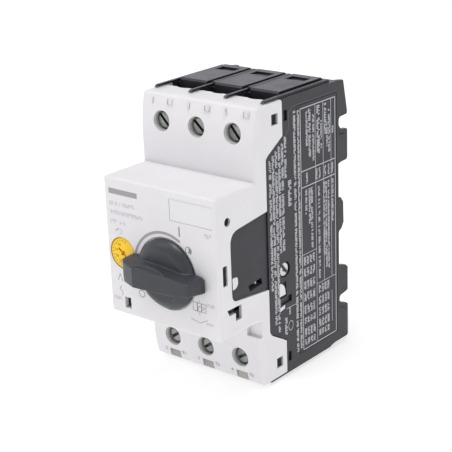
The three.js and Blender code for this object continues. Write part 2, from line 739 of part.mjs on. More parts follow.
function addMiddlePlate() {
  const plate = cut(
    box(-20.6, 20.6, MIDDLE_PLATE_Y, MIDDLE_PLATE_Y + 1.2, 16, 73.4),
    box(-8, 8, 30, 40, 50, 64),
    ...POLES.map((x) => box(x - 1.7, x + 1.4, 30, 40, TRIP_Z - 2, TRIP_Z + 1)),
    ...POLES.map((x) => rod("y", 1.3, 30, 40, x, COIL_Z, 12)),
  );
  addMesh("middle_plate", plate, PLASTIC_INNER);
}

// Terminals: the screw draws its clamp plate towards the terminal bar.

function addTerminals() {
  const ends = [TERMINAL_Z, COVER_TOP - TERMINAL_Z];
  ends.forEach((z, end) =>
    POLES.forEach((x, pole) => {
      const number = end * POLES.length + pole + 1;
      const profile = [
        [0, HEAD_FRONT], [2.5, HEAD_FRONT], [2.9, HEAD_FRONT + 0.5], [2.9, HEAD_FRONT + 2.4],
        [2.3, HEAD_FRONT + 2.4], [2.3, CLAMP_Y - 1.7], [SHANK_RADIUS, CLAMP_Y - 1.7],
        [SHANK_RADIUS, 37.8], [0, 37.8],
      ];
      const slot = box(x - 3, x + 3, HEAD_FRONT - 1, HEAD_FRONT + 1.1, z - 0.45, z + 0.45);
      addMesh(`terminal_screw_${number}`, cut(turned(profile, x, z, 14), slot), STEEL);
      const plate = cut(
        box(x - 4.8, x + 4.8, CLAMP_Y - 1.4, CLAMP_Y, z - 4.6, z + 4.6),
        rod("y", SHANK_RADIUS + GAP, 20, 40, x, z),
      );
      addMesh(`clamp_plate_${number}`, plate, STEEL);
    }),
  );
}

// Rail latch, labels

function addRailLatch() {
  const latch = cut(
    join(
      box(-9, 9, SEAT_Y + 0.4, 65.1, 5, 27),
      box(-9, 9, SEAT_Y + 1.6, 66.4, 24.4, 29),
      box(-4.5, 4.5, SEAT_Y + 0.4, 67.4, 1.6, 6),
    ),
    box(-2.2, 2.2, 60, 70, 8, 20),
    box(-2.6, 2.6, 60, 70, 2.8, 4.6),
  );
  addMesh("rail_latch", latch, PLASTIC_BLACK);
  const coil = { radius: 1.25, pitch: 1.5, turns: 5, wire: 0.45, upright: true };
  addMesh("rail_spring", spring([0, 63.9, 9], coil), STEEL);
}

function addLabels() {
  addMesh("label_plate", box(4.6, 20.5, 0.1, 0.5, 58.2, 64.5), PAPER);
  addMesh("side_label", box(HALF - 0.4, HALF - STEP_IN, 39.6, 60.9, 4.1, 86.4), PRINTED_FILM);
}

addFrontCover();
addBaseHousing();
addMiddlePlate();
addMechanismFrame();
addHandle();
addDial();
addDriveShaft();
addTripBar();
addContacts();
addCurrentPath();
addTerminals();
addRailLatch();
addLabels();

breaker.position.set(0, (FOOT_Y + KNOB_FRONT) / -2, PLATFORM_RISE);
const part = new THREE.Group();
part.add(breaker);

export default part;
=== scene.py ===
"""Looks of a three-pole motor protection breaker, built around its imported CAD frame.

Lengths are in millimetres in the device's own frame, and at() turns them into the row's metres:
x runs across the poles, y from the front plate to the rail, z upwards from the cover's lower edge.
"""

import json
import math
import random

import bmesh
import bpy
from mathutils import Matrix, Vector


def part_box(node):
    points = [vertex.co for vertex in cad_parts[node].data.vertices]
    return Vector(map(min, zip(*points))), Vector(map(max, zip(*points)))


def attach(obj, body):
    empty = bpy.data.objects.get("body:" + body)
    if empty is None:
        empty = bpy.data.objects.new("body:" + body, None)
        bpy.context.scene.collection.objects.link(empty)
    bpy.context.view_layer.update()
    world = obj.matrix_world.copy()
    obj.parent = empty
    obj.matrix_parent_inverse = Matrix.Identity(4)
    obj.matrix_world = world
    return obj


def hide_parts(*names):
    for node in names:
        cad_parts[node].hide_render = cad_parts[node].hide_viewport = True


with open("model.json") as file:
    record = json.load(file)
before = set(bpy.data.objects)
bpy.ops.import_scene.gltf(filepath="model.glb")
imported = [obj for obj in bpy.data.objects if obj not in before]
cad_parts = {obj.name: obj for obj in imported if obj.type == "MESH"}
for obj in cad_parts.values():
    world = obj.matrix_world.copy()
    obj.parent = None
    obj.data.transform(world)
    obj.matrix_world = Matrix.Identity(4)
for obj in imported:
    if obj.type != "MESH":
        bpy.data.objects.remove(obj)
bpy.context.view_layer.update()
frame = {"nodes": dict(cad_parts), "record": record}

MM = 0.001
COVER_LOW, COVER_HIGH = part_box("front_cover")
SIDE = COVER_HIGH.x / MM
HEIGHT = (COVER_HIGH.z - COVER_LOW.z) / MM
BASE_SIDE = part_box("side_label")[1].x / MM


def at(x, y, z):
    """A point of the device in the row frame, in metres."""
    return Vector((x * MM, COVER_LOW.y + y * MM, COVER_LOW.z + z * MM))


def device_box(node):
    """A node's corners in device millimetres."""
    return [
        Vector((p.x, p.y - COVER_LOW.y, p.z - COVER_LOW.z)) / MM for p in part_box(node)
    ]


def middle(node):
    low, high = device_box(node)
    return (low + high) / 2


JOINTS = frame["record"]["behaviour"]["joints"]
AXES = {joint["name"]: joint["pos_m"] for joint in JOINTS if "pos_m" in joint}


def axis_of(joint):
    """A point on a hinge's axis, in device millimetres."""
    x, y, z = AXES[joint]
    return Vector((x, y - COVER_LOW.y, z - COVER_LOW.z)) / MM


KNOB = axis_of("handle_turn")
DIAL_X, _, DIAL_Z = middle("setting_dial")
POLES = [middle(f"line_terminal_{n}").x for n in (1, 2, 3)]

# Handle: the grip's middle lies below the axis, and its upper flank is lower still
DISC_RADIUS = 11.2
GRIP_DROP = 0.35
TOP_FLANK_DROP = 0.5
GRIP_REAR = -0.4
SOCKET_HALF = 2.6
SOCKET_FRONT = -5.3
GROOVE_DEPTH = 1.6
VOXEL = 0.16

# Dial: its face lies just behind the front plate
DIAL_RADIUS = 5.15
DIAL_FACE = 0.12
DIAL_HUB = 2.2
DIAL_REAR = 19.9
DIAL_TURN = -38
TICKS = 17
FIRST_TICK = 75
TICK_STEP = 15
FIGURE_RADIUS = 3.0
FIGURES = {"10": 120, "14": 165, "18": 205, "22": 245}

# Screws: how far each is turned, and the radii of its head, neck, core and thread
SCREW_TURNS = (-46, -42, -50, 33, 35, 31)
HEAD_RADIUS = 2.9
NECK_RADIUS = 2.25
CORE_RADIUS = 1.5
THREAD_RADIUS = 1.78
THREAD_START = 29.2
THREAD_STEPS = 36
SLOT_HALF = 0.5
SLOT_DEPTH = 1.25

# Print is a film that stands a little out of its surface and reaches a little into it
PRINT = 0.03
SINK = 0.02
FRONT_FILM = (-PRINT, SINK)
SIDE_FILM = (BASE_SIDE - SINK, BASE_SIDE + PRINT)
FLUSH = BASE_SIDE - 0.12

# Moulded edges: vertices nearer than WELD are one, and the angles tell flat, round and sharp apart
WELD = 0.004
FLAT_ANGLE = math.radians(0.6)
SMOOTH_ANGLE = math.radians(36)
BEVEL_ANGLE = math.radians(38)

# Sizes in millimetres of what varies over a moulded surface, how far the shade painted into its corners
# reaches, and how far its edges reach
CLOUD_SIZE = 11
SPECK_SIZE = 0.16
RUB_AND_HIGHLIGHT_SIZE = 1.6
SHEEN_SIZE = 6
SMEAR_SIZE = 4.5
WAVE_SIZE = 1.2
CORNER_REACH = 2.6
EDGE_REACH = 0.35

# The same for metal, whose corners take painted shade, and for print
STREAK_SIZE = 0.5
STAIN_SIZE = 3.5
METAL_CORNER_REACH = 1.6
METAL_EDGE_REACH = 0.2
MISS_SIZE = 0.35
INK_GLOSS_SIZE = 0.8
INK_GRAIN_SIZE = 0.2


# ---------------------------------------------------------------- materials


def tone(red, green, blue):
    """A display colour, 0 to 255, as linear light."""

    def linear(c):
        c /= 255
        return c / 12.92 if c <= 0.04045 else ((c + 0.055) / 1.055) ** 2.4

    return (linear(red), linear(green), linear(blue), 1.0)


# The pale bluish tone of the sheen painted on faces that look up.
SHEEN_TONE = tone(118, 120, 130)


class Shader:
    """A node material: each method adds one node and returns the socket that others link to."""

    def __init__(self, name):
        self.material = bpy.data.materials.new(name)
        self.material.use_nodes = True
        self.tree = self.material.node_tree
        self.surface = self.tree.nodes["Principled BSDF"]
        self.place = self.add("ShaderNodeTexCoord").outputs["Object"]

    def add(self, kind, **settings):
        """A new node, which is the one method that returns a node and not a socket."""
        node = self.tree.nodes.new(kind)
        for name, value in settings.items():
            setattr(node, name, value)
        return node

    def feed(self, socket, value):
        """Links a socket to the value's socket, or sets it to a plain value."""
        if isinstance(value, bpy.types.NodeSocket):
            self.tree.links.new(value, socket)
        else:
            socket.default_value = value

    def set(self, **values):
        """Feeds inputs of the surface; a _ in a name stands for a space."""
        for name, value in values.items():
            self.feed(self.surface.inputs[name.replace("_", " ")], value)

    def grey(self, value):
        node = self.add("ShaderNodeCombineColor")
        for socket in node.inputs:
            self.feed(socket, value)
        return node.outputs[0]

    def math(self, operation, a, b=0.0):
        node = self.add("ShaderNodeMath", operation=operation)
        self.feed(node.inputs[0], a)
        self.feed(node.inputs[1], b)
        return node.outputs[0]

    def span(self, value, from_low, from_high, low=0.0, high=1.0):
        """Goes softly from low to high while the value goes from from_low to from_high."""
        node = self.add("ShaderNodeMapRange", interpolation_type="SMOOTHSTEP")
        sockets = zip(node.inputs, (value, from_low, from_high, low, high))
        for socket, given in sockets:
            self.feed(socket, given)
        return node.outputs[0]

    def mix(self, share, a, b, blend="MIX"):
        """Colour a with a share of colour b."""
        node = self.add("ShaderNodeMix", data_type="RGBA", blend_type=blend)
        self.feed(node.inputs["Factor"], share)
        self.feed(node.inputs[6], a)
        self.feed(node.inputs[7], b)
        return node.outputs[2]

    def stretched(self, x, y, z):
        """The place on the surface, with the noise along each axis this many times finer."""
        node = self.add("ShaderNodeMapping")
        self.feed(node.inputs["Vector"], self.place)
        node.inputs["Scale"].default_value = (x, y, z)
        return node.outputs[0]

    def noise(self, size, detail=3.0, place=None):
        """Soft noise whose features are about size millimetres across."""
        node = self.add("ShaderNodeTexNoise")
        self.feed(node.inputs["Vector"], place or self.place)
        node.inputs["Scale"].default_value = 1 / (size * MM)
        node.inputs["Detail"].default_value = detail
        return node.outputs["Fac"]

    def edge(self, radius):
        """Near 1 on edges sharper than radius millimetres, 0 on flat ground."""
        bevel = self.add("ShaderNodeBevel", samples=4)
        bevel.inputs["Radius"].default_value = radius * MM
        dot = self.add("ShaderNodeVectorMath", operation="DOT_PRODUCT")
        self.feed(dot.inputs[0], bevel.outputs[0])
        self.feed(dot.inputs[1], self.add("ShaderNodeNewGeometry").outputs["Normal"])
        return self.span(dot.outputs["Value"], 0.99, 0.8)

    def ridge(self):
        """Near 1 on the outer ridges of a dense mesh, where a highlight is painted."""
        pointed = self.add("ShaderNodeNewGeometry").outputs["Pointiness"]
        return self.span(pointed, 0.517, 0.56)

    def upward(self):
        """1 on faces that look up in the part's own frame, 0 on its sides: the mask for the sheen painted on
        tops.
        """
        split = self.add("ShaderNodeSeparateXYZ")
        self.feed(split.inputs[0], self.add("ShaderNodeTexCoord").outputs["Normal"])
        return self.span(split.outputs["Z"], 0.6, 0.95)

    def openness(self, distance):
        """1 in the open, less in corners and deep grooves: the mask for shade painted into corners."""
        node = self.add("ShaderNodeAmbientOcclusion", samples=4)
        node.inputs["Distance"].default_value = distance * MM
        return node.outputs["AO"]

    def bump(self, height, depth):
        """Raises the surface by the height, as if it were depth millimetres high at 1."""
        node = self.add("ShaderNodeBump")
        node.inputs["Distance"].default_value = depth * MM
        self.feed(node.inputs["Height"], height)
        self.set(Normal=node.outputs[0])


def moulded(
    name, colour, rough, grain=0.35, depth=0.02, wear_and_highlight=0.3, cloud=0.06, deep=0.8,
    shine=0.5, worn_and_lit=1.5, dense=False, top_sheen=0.0,
):
    """Moulded plastic: fine grain, a cloudy tint, specks, shade painted into corners, lighter edges and a
    sheen painted on top.

    Grain is the grain's size and depth its height, both in millimetres. The amounts are wear, cloud and dust,
    and dust is a sheen painted on faces that look up.
    Deep is the colour left under the shade painted into corners, and worn is how much lighter an edge gets:
    abraded on most parts, and on a dense mesh lit, as a highlight painted along its ridges.
    Dense says that the mesh is fine enough for ridge(), which then masks that painted highlight.
    """
    s = Shader(name)

    def tint(share, lift=0.0):
        return tuple(min(1, c * share + lift) for c in colour[:3]) + (1,)

    base = s.mix(s.span(s.noise(CLOUD_SIZE, 4), 0.3, 0.7), tint(1 - cloud), tint(1 + cloud, cloud * 0.03))
    specks = s.span(s.noise(SPECK_SIZE, 1), 0.68, 0.8)
    base = s.mix(s.math("MULTIPLY", specks, 0.2), base, tint(0.75))
    # Painted shade: the colour darkens towards corners and grooves, down to deep, where shade falls.
    shade = s.span(s.openness(CORNER_REACH), 0.2, 0.95, deep, 1.0)
    base = s.mix(1.0, base, s.grey(shade), "MULTIPLY")
    # Edges are lightened: abraded on most parts, and on a dense mesh, where ridge() masks them, a highlight
    # painted along the ridges.
    edges = s.ridge() if dense else s.edge(EDGE_REACH)
    rubbed_and_lit = s.math("MULTIPLY", edges, s.span(s.noise(RUB_AND_HIGHLIGHT_SIZE, 4), 0.25, 0.6))
    base = s.mix(s.math("MULTIPLY", rubbed_and_lit, wear_and_highlight), base, tint(worn_and_lit, 0.02))
    # Painted sheen: faces that look up are lightened in patches towards a pale bluish tone, as if lit from
    # above.
    if top_sheen:
        patchy = s.span(s.noise(SHEEN_SIZE, 4), 0.3, 0.7, 0.6 * top_sheen, top_sheen)
        base = s.mix(s.math("MULTIPLY", s.upward(), patchy), base, SHEEN_TONE)
    smear = s.span(s.noise(SMEAR_SIZE, 5), 0.35, 0.7, rough - 0.035, rough + 0.045)
    s.set(Base_Color=base, Roughness=s.math("SUBTRACT", smear, s.math("MULTIPLY", rubbed_and_lit, 0.12)))
    s.surface.inputs["Specular IOR Level"].default_value = shine
    s.bump(s.math("ADD", s.noise(grain, 2), s.math("MULTIPLY", s.noise(WAVE_SIZE, 2), 0.5)), depth)
    return s


def metal(name, colour, rough, streak=(1, 1, 12), wear_and_highlight=0.25, deep=0.5):
    """Plated or rolled metal: fine drawn streaks, faint stains, shade painted into corners and slots, brighter
    edges.
    """
    s = Shader(name)
    lines = s.noise(STREAK_SIZE, 3, s.stretched(*streak))
    stain = s.noise(STAIN_SIZE, 5)
    dull = tuple(c * 0.72 for c in colour[:3]) + (1,)
    base = s.mix(s.span(stain, 0.35, 0.7), colour, dull)
    base = s.mix(s.math("MULTIPLY", s.span(lines, 0.45, 0.7), 0.35), base, dull)
    # Painted shade: the colour darkens in corners, slots and grooves, down to deep, where shade falls.
    shade = s.span(s.openness(METAL_CORNER_REACH), 0.25, 0.9, deep, 1.0)
    base = s.mix(1.0, base, s.grey(shade), "MULTIPLY")
    bright = tuple(min(1, c * 1.25) for c in colour[:3]) + (1,)
    base = s.mix(s.math("MULTIPLY", s.edge(METAL_EDGE_REACH), wear_and_highlight), base, bright)
    s.set(Base_Color=base, Roughness=s.span(stain, 0.3, 0.7, rough - 0.08, rough + 0.12))
    s.surface.inputs["Metallic"].default_value = 1.0
    s.bump(lines, 0.012)
    return s


def ink(name, colour, thin=0.15):
    """Pad print: even colour with small misses and a slightly raised, matte film."""
    s = Shader(name)
    misses = s.span(s.noise(MISS_SIZE, 3), 0.62, 0.8)
    pale = tuple(c + (1 - c) * 0.35 for c in colour[:3]) + (1,)
    s.set(Base_Color=s.mix(s.math("MULTIPLY", misses, thin), colour, pale))
    s.set(Roughness=s.span(s.noise(INK_GLOSS_SIZE, 3), 0.3, 0.7, 0.5, 0.66))
    s.bump(s.noise(INK_GRAIN_SIZE, 2), 0.006)
    return s


WHITE = moulded("white_plastic", tone(226, 224, 227), 0.42, depth=0.008, wear_and_highlight=0.08, cloud=0.012, deep=0.72)
# The black housing gets a painted sheen on its tops and painted shade in its corners.
BLACK = moulded("black_plastic", tone(37, 34, 42), 0.4, wear_and_highlight=0.35, deep=0.45, shine=0.42, top_sheen=0.5)
# The handle's strong edge lightening on its dense mesh is a highlight painted along the grip's ridges.
KNOB_PLASTIC = moulded(
    "handle_plastic", tone(46, 50, 57), 0.42, grain=0.3, depth=0.012,
    wear_and_highlight=0.9, deep=0.95, worn_and_lit=2.4, dense=True,
)
YELLOW = moulded("yellow_plastic", tone(254, 204, 6), 0.36, depth=0.008, wear_and_highlight=0.05, cloud=0.04)
INNER = moulded("inner_plastic", tone(150, 145, 132), 0.6, depth=0.03, wear_and_highlight=0.2)
LABEL_WHITE = moulded("label_white", tone(226, 225, 228), 0.34, depth=0.005, wear_and_highlight=0.05, cloud=0.012)
LABEL_BLACK = moulded("label_black", tone(34, 32, 40), 0.38, depth=0.008, wear_and_highlight=0.15, shine=0.42)
STEEL = metal("zinc_steel", tone(176, 178, 180), 0.36)
# The screws keep little colour in corners, so their slots get dark painted shade.
SCREW_STEEL = metal("screw_steel", tone(158, 161, 158), 0.46, streak=(1, 6, 1), deep=0.35)
COPPER = metal("copper", tone(206, 140, 96), 0.32)
BIMETAL = metal("bimetal_strip", tone(168, 160, 146), 0.4)
GREY_INK = ink("grey_ink", tone(158, 155, 158))
FAINT_INK = ink("faint_ink", tone(200, 197, 203), 0.3)
DARK_INK_AND_SHADOW = ink("dark_ink_and_shadow", tone(128, 126, 131))
WHITE_INK = ink("white_ink", tone(203, 205, 210))
ARROW_SHADE = ink("arrow_shade", tone(206, 134, 20))
TICK_INK = ink("tick_ink", tone(120, 100, 40))
SEAM_INK = ink("seam_ink", tone(104, 104, 110), 0.3)
SLEEVE = moulded("sleeve_plastic", tone(196, 197, 194), 0.4, wear_and_highlight=0.1, deep=0.75)
SLOT_PLASTIC = moulded("slot_plastic", tone(168, 163, 160), 0.5, wear_and_highlight=0.1, deep=0.6)
# A plastic darker than the black housing, put inside openings to paint the shade there.
SHADE_FILL_PLASTIC = moulded("shade_fill_plastic", tone(26, 26, 26), 0.6, wear_and_highlight=0.2, deep=0.6, shine=0.25)


# ---------------------------------------------------------------- meshes


def finish_edges(o, width, segments=2):
    """Modifiers for moulded edges: flat facets merged, sharp edges rounded, shading smoothed."""
    weld = o.modifiers.new("weld", "WELD")
    weld.merge_threshold = WELD * MM
    flat = o.modifiers.new("flat", "DECIMATE")
    flat.decimate_type = "DISSOLVE"
    flat.angle_limit = FLAT_ANGLE
    if width:
        bevel = o.modifiers.new("edges", "BEVEL")
        bevel.limit_method = "ANGLE"
        bevel.angle_limit = BEVEL_ANGLE
        bevel.width = width * MM
        bevel.segments = segments
        bevel.use_clamp_overlap = True
    smooth = o.modifiers.new("smooth", "NODES")
    smooth.node_group = smooth_by_angle()
    normals = o.modifiers.new("normals", "WEIGHTED_NORMAL")
    normals.keep_sharp = True


def smooth_by_angle():
    """The node group that shades faces smooth, except across edges sharper than SMOOTH_ANGLE."""
    name = "smooth_by_angle"
    if name in bpy.data.node_groups:
        return bpy.data.node_groups[name]
    group = bpy.data.node_groups.new(name, "GeometryNodeTree")
    for way in ("INPUT", "OUTPUT"):
        group.interface.new_socket("Geometry", in_out=way, socket_type="NodeSocketGeometry")
    new, link = group.nodes.new, group.links.new
    given, made = new("NodeGroupInput"), new("NodeGroupOutput")
    faces, edges = new("GeometryNodeSetShadeSmooth"), new("GeometryNodeSetShadeSmooth")
    faces.domain, edges.domain = "FACE", "EDGE"
    edges.inputs["Shade Smooth"].default_value = False
    angle, sharp = new("GeometryNodeInputMeshEdgeAngle"), new("FunctionNodeCompare")
    sharp.data_type, sharp.operation = "FLOAT", "GREATER_THAN"
    sharp.inputs[1].default_value = SMOOTH_ANGLE
    link(given.outputs[0], faces.inputs["Geometry"])
    link(faces.outputs[0], edges.inputs["Geometry"])
    link(angle.outputs["Unsigned Angle"], sharp.inputs[0])
    link(sharp.outputs[0], edges.inputs["Selection"])
    link(edges.outputs[0], made.inputs[0])
    return group


def paint(o, shader):
    o.data.materials.clear()
    o.data.materials.append(shader.material)


def add_object(name, data):
    """A new object in the scene, for a mesh, a font curve, a light or a camera."""
    o = bpy.data.objects.new(name, data)
    bpy.context.scene.collection.objects.link(o)
    return o


def mesh_from(name, bm):
    """A mesh with the faces of bm, turned outwards. It uses bm up."""
    bmesh.ops.recalc_face_normals(bm, faces=bm.faces[:])
    mesh = bpy.data.meshes.new(name)
    bm.to_mesh(mesh)
    bm.free()
    return mesh


def to_row(mesh):
    """Moves a mesh from device millimetres into the row frame."""
    mesh.transform(Matrix.Translation(at(0, 0, 0)) @ Matrix.Scale(MM, 4))


def shade_smooth(mesh):
    mesh.polygons.foreach_set("use_smooth", [True] * len(mesh.polygons))


def piece(name, bm, shader, body):
    """A new mesh in device millimetres, put into the row frame and tied to a body."""
    mesh = mesh_from(name, bm)
    to_row(mesh)
    o = add_object(name, mesh)
    paint(o, shader)
    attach(o, body)
    return o


def slab(bm, x, y, z):
    """A box from three (low, high) pairs; returns its vertices."""
    size = [b - a for a, b in (x, y, z)]
    centre = [(a + b) / 2 for a, b in (x, y, z)]
    place = Matrix.Translation(centre) @ Matrix.Diagonal((*size, 1))
    return bmesh.ops.create_cube(bm, size=1, matrix=place)["verts"]


def join_outlines(bm, near, far):
    """A closed solid between two outlines with as many points each."""
    near = [bm.verts.new(point) for point in near]
    far = [bm.verts.new(point) for point in far]
    bm.faces.new(near)
    bm.faces.new(far[::-1])
    for i in range(len(near)):
        j = (i + 1) % len(near)
        bm.faces.new((near[i], far[i], far[j], near[j]))


def plate_prism(bm, points, y0, y1):
    """A flat shape in (x, z), given as a closed outline, between two depths."""
    join_outlines(bm, [(x, y0, z) for x, z in points], [(x, y1, z) for x, z in points])


def side_prism(bm, points, x0, x1):
    """A flat shape in (y, z), given as a closed outline, between two widths."""
    join_outlines(bm, [(x0, y, z) for y, z in points], [(x1, y, z) for y, z in points])


def lathe(bm, profile, x, z, sides=64):
    """A surface of revolution about a line along y; the profile lists (radius, y)."""
    rings = []
    for radius, y in profile:
        if radius < 1e-6:
            rings.append([bm.verts.new((x, y, z))])
            continue
        turn = [2 * math.pi * i / sides for i in range(sides)]
        rings.append([bm.verts.new((x + radius * math.cos(a), y, z + radius * math.sin(a))) for a in turn])
    for a, b in zip(rings, rings[1:]):
        for i in range(sides):
            j = (i + 1) % sides
            corners = [a[i % len(a)], a[j % len(a)], b[j % len(b)], b[i % len(b)]]
            bm.faces.new(list(dict.fromkeys(corners)))


def arc_band(bm, x, z, inner, outer, start, end, y0, y1, steps=48):
    """Part of a flat ring; the angles are in degrees, from +x towards +z."""
    turn = [math.radians(start + (end - start) * i / steps) for i in range(steps + 1)]
    ring = [(x + outer * math.cos(a), z + outer * math.sin(a)) for a in turn]
    ring += [(x + inner * math.cos(a), z + inner * math.sin(a)) for a in reversed(turn)]
    plate_prism(bm, ring, y0, y1)


def stroke(bm, a, b, width, y0, y1):
    """A line on the front from a to b, both (x, z), for print and for the pointer's painted shadow."""
    along = Vector(b) - Vector(a)
    side = Vector((-along.y, along.x)).normalized() * (width / 2)
    a, b = Vector(a), Vector(b)
    plate_prism(bm, [a + side, a - side, b - side, b + side], y0, y1)


def modified(o):
    """The mesh of o with its modifiers applied."""
    graph = bpy.context.evaluated_depsgraph_get()
    return bpy.data.meshes.new_from_object(o.evaluated_get(graph))


def bake_modifiers(o):
    """Puts the modified mesh of o in place of its mesh and modifiers."""
    bpy.context.view_layer.update()
    mesh = modified(o)
    o.modifiers.clear()
    o.data = mesh


def cut_out(o, bm):
    """Cuts the solids of bm, in device millimetres, out of o."""
    mesh = mesh_from("tool", bm)
    to_row(mesh)
    tool = add_object("tool", mesh)
    cut = o.modifiers.new("cut", "BOOLEAN")
    cut.operation = "DIFFERENCE"
    cut.solver = "EXACT"
    cut.use_self = True
    cut.object = tool
    bake_modifiers(o)
    bpy.data.objects.remove(tool)


def lettering(name, text, spot, size, shader, body, lean=0.0, rise=PRINT):
    """A raised number or terminal mark on a surface that faces the front and leans back by an angle."""
    curve = bpy.data.curves.new(name, "FONT")
    curve.body = text
    curve.size = size
    curve.extrude = rise
    curve.align_x = curve.align_y = "CENTER"
    curve.resolution_u = 3
    o = add_object(name, curve)
    bpy.context.view_layer.update()
    mesh = modified(o)
    bpy.data.objects.remove(o)
    mesh.name = name
    mesh.transform(Matrix.Translation(spot) @ Matrix.Rotation(math.pi / 2 - lean, 4, "X"))
    bm = bmesh.new()
    bm.from_mesh(mesh)
    bmesh.ops.remove_doubles(bm, verts=bm.verts[:], dist=0.001)
    return piece(name, bm, shader, body)


# ---------------------------------------------------------------- CAD nodes that stay


def dress_frame():
    """Materials for the CAD nodes, with the width and the number of segments of their rounded edges."""
    moulds = {
        "front_cover": (WHITE, 0.22, 3),
        "base_housing": (BLACK, 0.16, 2),
        "middle_plate": (INNER, 0.15, 2),
        "contact_carrier": (INNER, 0.15, 2),
        "test_lever": (INNER, 0.1, 2),
        "trip_bar": (WHITE, 0.12, 2),
        "drive_shaft": (WHITE, 0.1, 2),
        "label_plate": (LABEL_WHITE, 0.08, 2),
        "side_label": (LABEL_BLACK, 0.04, 1),
        "rail_latch": (BLACK, 0.2, 2),
        "mechanism_frame": (STEEL, 0.1, 2),
        "latch_lever": (STEEL, 0.1, 2),
        "latch_spring": (STEEL, 0, 1),
        "rail_spring": (STEEL, 0, 1),
        "handle_shaft": (STEEL, 0.12, 2),
    }
    for n in (1, 2, 3):
        for kind in ("line_terminal", "lower_contact", "load_terminal", "contact_bridge"):
            moulds[f"{kind}_{n}"] = (COPPER, 0.1, 2)
        for kind in ("arc_chute", "magnet_yoke", "magnet_plunger"):
            moulds[f"{kind}_{n}"] = (STEEL, 0.08, 2)
        moulds[f"magnet_coil_{n}"] = (COPPER, 0, 1)
        moulds[f"contact_spring_{n}"] = (STEEL, 0, 1)
        moulds[f"bimetal_{n}"] = (BIMETAL, 0.08, 2)
    for n in range(1, 7):
        moulds[f"clamp_plate_{n}"] = (STEEL, 0.15, 2)
    for node, (shader, width, segments) in moulds.items():
        o = frame["nodes"][node]
        finish_edges(o, width, segments)
        paint(o, shader)


# ---------------------------------------------------------------- handle, dial and screws


def knob_bar(bm):
    """The grip: it narrows towards the front and the right, and its left end is bevelled.

    Each station gives x, the front's y, and half the height at the plate and at the front.
    """
    stations = [
        (-15.5, -3.2, 3.6, 2.9), (-12.9, -5.6, 5.0, 3.2), (-7.2, -8, 5.1, 3.1),
        (6.4, -7.5, 4.0, 2.75), (13.9, -6.85, 3.0, 1.95), (15.2, -6.0, 2.3, 1.3),
    ]
    points = []
    for x, front, at_plate, at_front in stations:
        for side in (-1, 1):
            foot = at_plate - TOP_FLANK_DROP if side > 0 else at_plate
            points.append(bm.verts.new((x, GRIP_REAR, side * foot - GRIP_DROP)))
            points.append(bm.verts.new((x, front, side * at_front - GRIP_DROP)))
    bmesh.ops.convex_hull(bm, input=points)


def groove_line():
    """The crescent groove in the grip's upper flank, in the knob's own frame: x, y and half width."""
    left, length = -8.6, 13.6
    front, sag = -7.45, 1.55
    thinnest, swelling = 0.2, 0.32
    points, steps = [], 40
    for i in range(steps + 1):
        t = i / steps
        swell = math.sin(math.pi * t)
        points.append((left + length * t, front + sag * swell ** 0.8, thinnest + swelling * swell))
    return points


def carve(mesh, line, depth):
    """Sinks the flank that faces up along a line of (x, y, half width), and raises a thin lip behind it.

    Groove and lip are given in half widths away from the line.
    """
    groove, lip, lip_height = 1.5, 2.6, 0.12
    flank_low, flank_front, flank_rear = 0.8, -8, -2.6
    for v in mesh.vertices:
        if v.co.z < flank_low or not flank_front < v.co.y < flank_rear:
            continue
        x, y, half = min(line, key=lambda p: math.hypot(v.co.x - p[0], v.co.y - p[1]))
        away = math.hypot(v.co.x - x, v.co.y - y) / half
        if away < groove:
            v.co.z -= depth * half * (0.5 + 0.5 * math.cos(math.pi * away / groove))
        elif away < lip and v.co.y > y:
            v.co.z += lip_height * math.sin(math.pi * (away - groove) / (lip - groove))


def build_knob():
    """The disc and the grip fused on a fine grid, with the groove and the shaft's socket sunk in."""
    bm = bmesh.new()
    # the disc's profile, from the middle of its domed front to the plate
    disc = [
        (0, -2.9), (7.8, -2.9), (8.6, -2.8), (9.4, -2.45), (10.2, -1.9), (10.8, -1.2),
        (DISC_RADIUS, -0.4), (DISC_RADIUS, 0.15), (0, 0.15),
    ]
    lathe(bm, disc, 0, 0, 96)
    knob_bar(bm)
    o = add_object("knob", mesh_from("knob_shape", bm))
    remesh = o.modifiers.new("fuse", "REMESH")
    remesh.mode = "VOXEL"
    remesh.voxel_size = VOXEL
    soft = o.modifiers.new("soft", "SMOOTH")
    soft.iterations = 3
    soft.factor = 0.5
    bake_modifiers(o)
    carve(o.data, groove_line(), GROOVE_DEPTH)
    o.data.transform(Matrix.Translation((KNOB.x, 0, KNOB.z)))
    to_row(o.data)
    across, upright = ((k - SOCKET_HALF, k + SOCKET_HALF) for k in (KNOB.x, KNOB.z))
    socket = bmesh.new()
    slab(socket, across, (SOCKET_FRONT, 1), upright)
    cut_out(o, socket)
    shade_smooth(o.data)
    paint(o, KNOB_PLASTIC)
    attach(o, "handle")
    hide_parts("rotary_handle")


